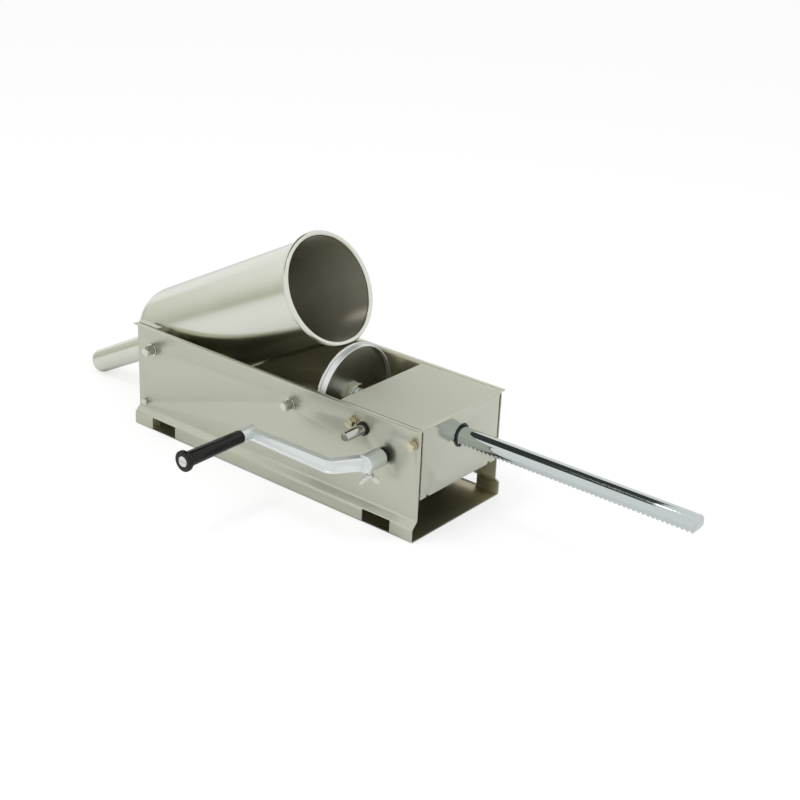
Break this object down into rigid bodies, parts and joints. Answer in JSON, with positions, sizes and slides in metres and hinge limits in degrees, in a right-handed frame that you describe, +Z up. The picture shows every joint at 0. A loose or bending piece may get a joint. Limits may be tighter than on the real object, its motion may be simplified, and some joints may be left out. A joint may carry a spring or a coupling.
{
  "type": "sausage stuffer",
  "caption": "Horizontal hand-cranked sausage stuffer: sheet steel frame, tilting cylinder with stuffing tube, toothed rack with piston, and a geared crank with a turning grip.",
  "frame": {"origin": "middle of the base plate, on its underside", "axes": "+X along the frame from the stuffing tube to the free end of the rack, +Y from the crank side to the far side, +Z up"},
  "size_m": [1.0115, 0.3589, 0.317],
  "materials": {
    "frame_steel": "warm grey satin steel sheet",
    "polished_steel": "polished steel",
    "chrome": "ground and chromed",
    "zinc_steel": "bright plated steel",
    "gear_steel": "machined steel, lightly oiled",
    "cast_aluminium": "as cast, tumbled",
    "bronze": "sintered bronze",
    "black_nylon": "matt",
    "seal_rubber": "matt",
    "black_plastic": "glossy moulding"
  },
  "bodies": {
    "frame": {"cover_bolt_far_front": "zinc_steel", "cover_bolt_far_wall": "zinc_steel", "cover_bolt_near_front": "zinc_steel", "cover_bolt_near_wall": "zinc_steel", "cover_nut_far_front": "zinc_steel", "cover_nut_far_wall": "zinc_steel", "cover_nut_near_front": "zinc_steel", "cover_nut_near_wall": "zinc_steel", "cover_washer_far_front": "zinc_steel", "cover_washer_far_wall": "zinc_steel", "cover_washer_near_front": "zinc_steel", "cover_washer_near_wall": "zinc_steel", "frame_body": "frame_steel", "front_saddle": "frame_steel", "gearbox_cover": "frame_steel", "gearbox_rear_wall": "frame_steel", "guide_lock_nut_far_front": "zinc_steel", "guide_lock_nut_far_rear": "zinc_steel", "guide_lock_nut_near_front": "zinc_steel", "guide_lock_nut_near_rear": "zinc_steel", "guide_screw_far_front": "zinc_steel", "guide_screw_far_rear": "zinc_steel", "guide_screw_near_front": "zinc_steel", "guide_screw_near_rear": "zinc_steel", "guide_washer_far_front": "zinc_steel", "guide_washer_far_rear": "zinc_steel", "guide_washer_near_front": "zinc_steel", "guide_washer_near_rear": "zinc_steel", "main_bush_far": "bronze", "main_bush_near": "bronze", "rack_guide_front": "black_nylon", "rack_guide_rear": "black_nylon", "saddle_bolt_far": "zinc_steel", "saddle_bolt_near": "zinc_steel", "saddle_nut_far": "zinc_steel", "saddle_nut_near": "zinc_steel", "shaft_bracket": "frame_steel", "upper_bush_inner": "bronze", "upper_bush_near": "bronze"},
    "rack": {"rack_bar": "chrome", "piston_front_plate": "polished_steel", "piston_seal": "seal_rubber", "piston_cup": "polished_steel", "piston_hub_nut": "zinc_steel", "piston_screw": "zinc_steel"},
    "crank_shaft": {"main_shaft": "gear_steel", "reduction_gear": "gear_steel", "gear_pin": "gear_steel", "main_shaft_circlip_inner": "gear_steel", "main_shaft_circlip_outer": "gear_steel", "crank_arm": "cast_aluminium", "grip_spindle": "zinc_steel"},
    "grip": {"grip": "black_plastic"},
    "wing_screw": {"wing_screw": "zinc_steel"},
    "upper_shaft": {"upper_shaft": "zinc_steel", "upper_shaft_circlip": "gear_steel"},
    "cylinder": {"cylinder_shell": "polished_steel", "stuffing_tube": "polished_steel"},
    "tube_nut": {"tube_nut": "polished_steel"}
  },
  "joints": [
    {"name": "rack_slide", "type": "slide", "parent": "frame", "child": "rack", "axis": [1, 0, 0], "range_m": [0, 0.025]},
    {"name": "crank_turn", "type": "hinge", "parent": "frame", "child": "crank_shaft", "pos_m": [0.1926, 0, 0.09838], "axis": [0, 1, 0], "range_deg": [0, 143.3]},
    {"name": "upper_shaft_turn", "type": "hinge", "parent": "frame", "child": "upper_shaft", "pos_m": [0.15799, 0, 0.12217], "axis": [0, 1, 0], "range_deg": [-458.5, 0]},
    {"name": "grip_spin", "type": "hinge", "parent": "crank_shaft", "child": "grip", "pos_m": [0.0318, -0.2, 0.09838], "axis": [0, 1, 0], "continuous": true},
    {"name": "wing_screw_turn", "type": "hinge", "parent": "crank_shaft", "child": "wing_screw", "pos_m": [0.1926, -0.107, 0.075], "axis": [0, 0, -1], "range_deg": [0, 360]},
    {"name": "cylinder_tilt", "type": "hinge", "parent": "frame", "child": "cylinder", "pos_m": [-0.2368, 0, 0.1428], "axis": [0, 1, 0], "range_deg": [0, 27.4]},
    {"name": "tube_nut_turn", "type": "hinge", "parent": "cylinder", "child": "tube_nut", "pos_m": [0.02891, 0, 0.25057], "axis": [-0.8878, 0, -0.4602], "range_deg": [0, 360]}
  ],
  "couplings": [
    {"joint": "crank_turn", "follows": "rack_slide", "rad_per_m": 100},
    {"joint": "upper_shaft_turn", "follows": "rack_slide", "rad_per_m": -320}
  ]
}
